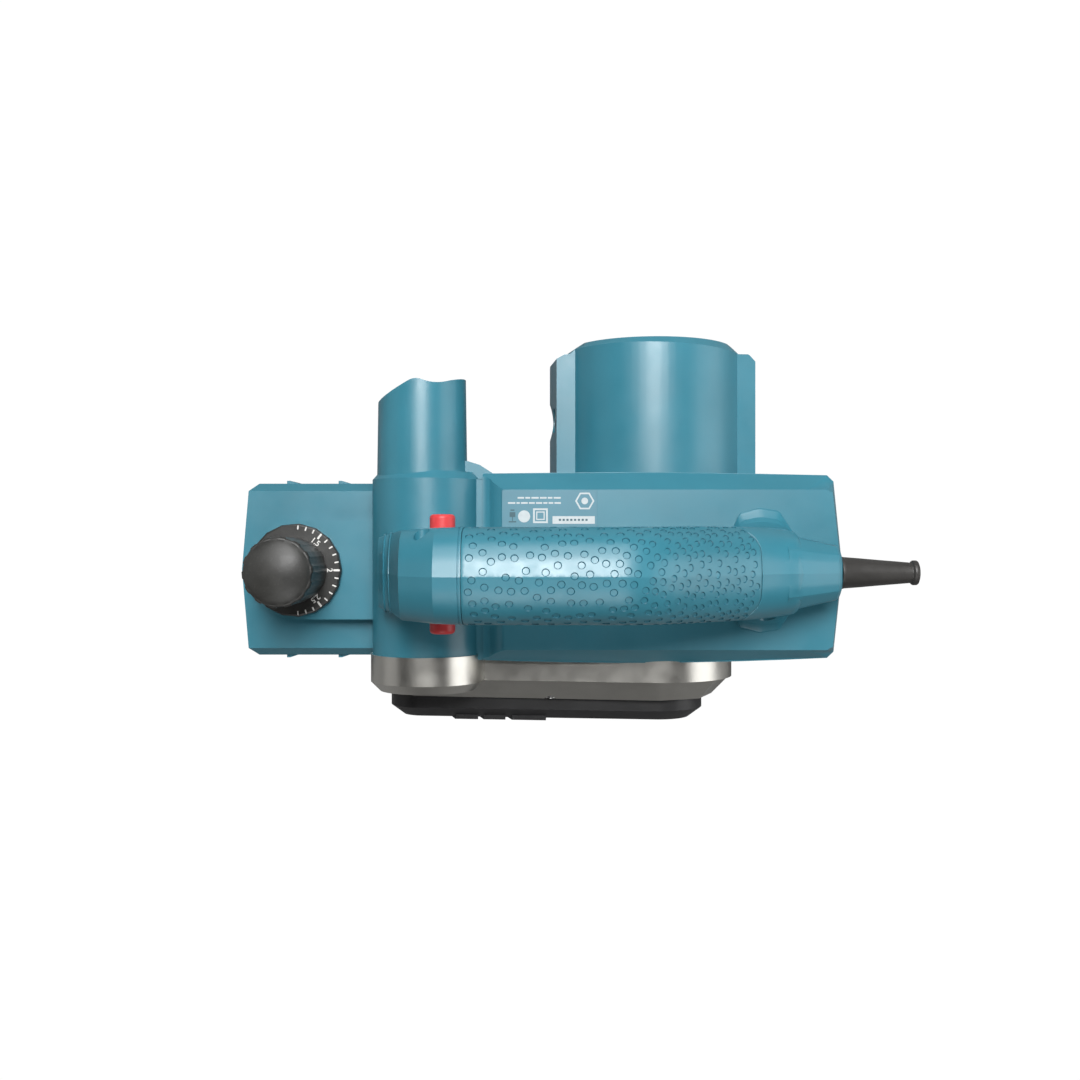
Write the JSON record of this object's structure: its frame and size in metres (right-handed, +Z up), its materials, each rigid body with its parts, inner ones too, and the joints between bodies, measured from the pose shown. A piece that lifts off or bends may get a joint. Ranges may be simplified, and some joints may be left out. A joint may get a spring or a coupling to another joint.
{
  "type": "electric hand planer",
  "caption": "Corded electric hand planer with a closed handle, dimpled soft grip, depth dial, belt-driven cutter drum, cross-mounted motor and side chip nozzle.",
  "frame": {"origin": "on the rear sole's working face, straight under the motor shaft", "axes": "+X towards the cord, -X the front of the cut, +Y the motor and chip nozzle side, +Z up"},
  "size_m": [0.3117, 0.1788, 0.162],
  "materials": {
    "body_plastic": "moulded satin",
    "grip_rubber": "dimpled matt",
    "name_plate": "printed foil",
    "cast_aluminium": "satin cast",
    "black_plastic": "moulded",
    "black_rubber": "matt",
    "red_plastic": "moulded",
    "steel": "zinc plated",
    "carbide": "ground",
    "pulley_metal": "turned",
    "copper": "enamelled wire",
    "brass": "drawn",
    "carbon": "graphite",
    "fan_plastic": "moulded"
  },
  "bodies": {
    "housing": {"main_housing": "body_plastic", "drive_housing": "cast_aluminium", "belt_cover": "black_plastic", "belt_cover_screws": "steel", "drive_housing_screws": "steel", "rear_sole": "cast_aluminium", "sole_screws": "steel", "drum_bearing_belt_side": "steel", "drum_bearing_motor_side": "steel", "drive_belt": "black_rubber", "motor_bearing_front": "steel", "motor_bearing_rear": "steel", "stator_core": "steel", "field_coils": "copper", "air_baffle": "black_plastic", "brush_holders": "brass", "carbon_brushes": "carbon", "brush_caps": "black_plastic", "motor_end_cap": "body_plastic", "end_cap_screws": "steel", "handle_shell_left": "body_plastic", "handle_shell_right": "body_plastic", "soft_grip": "grip_rubber", "handle_screws": "steel", "name_plate": "name_plate", "switch_body": "black_plastic", "lock_spring": "steel", "capacitor": "black_plastic", "cord_gland": "black_rubber", "cord_clamp": "black_plastic", "cord_clamp_screws": "steel"},
    "depth_dial": {"depth_knob": "black_plastic", "scale_ring": "black_plastic", "depth_spindle": "steel"},
    "front_sole": {"front_shoe": "cast_aluminium", "shoe_spring": "steel"},
    "cutter_head": {"cutter_drum": "steel", "blades": "carbide", "blade_clamps": "steel", "clamp_screws": "steel", "drum_pulley": "pulley_metal", "drum_pulley_nut": "steel"},
    "armature": {"armature_shaft": "steel", "armature_core": "steel", "armature_windings": "copper", "commutator": "copper", "cooling_fan": "fan_plastic", "motor_pulley": "pulley_metal", "motor_pulley_nut": "steel"},
    "trigger_lever": {"trigger": "black_plastic", "trigger_spring": "steel"},
    "lock_off": {"lock_button": "red_plastic"}
  },
  "joints": [
    {"name": "knob_turn", "type": "hinge", "parent": "housing", "child": "depth_dial", "pos_m": [-0.169, 0, 0.058], "axis": [0, 0, 1], "range_deg": [-213, 63.9]},
    {"name": "shoe_slide", "type": "slide", "parent": "housing", "child": "front_sole", "axis": [0, 0, 1], "range_m": [-0.002, 0.0006], "deforming": ["shoe_spring"]},
    {"name": "drum_spin", "type": "hinge", "parent": "housing", "child": "cutter_head", "pos_m": [-0.106, 0, 0.0235], "axis": [0, 1, 0], "continuous": true},
    {"name": "motor_spin", "type": "hinge", "parent": "housing", "child": "armature", "pos_m": [0, 0, 0.04], "axis": [0, 1, 0], "continuous": true},
    {"name": "trigger_press", "type": "slide", "parent": "housing", "child": "trigger_lever", "axis": [0, 0, 1], "range_m": [0, 0.005], "stiffness_N_per_m": 700, "springref_m": -0.002, "deforming": ["trigger_spring"]},
    {"name": "lock_slide", "type": "slide", "parent": "housing", "child": "lock_off", "axis": [0, 1, 0], "range_m": [-0.003, 0.003], "stiffness_N_per_m": 600}
  ],
  "couplings": [
    {"joint": "knob_turn", "follows": "shoe_slide", "rad_per_m": 1858.7},
    {"joint": "drum_spin", "follows": "motor_spin", "ratio": 0.7063}
  ]
}
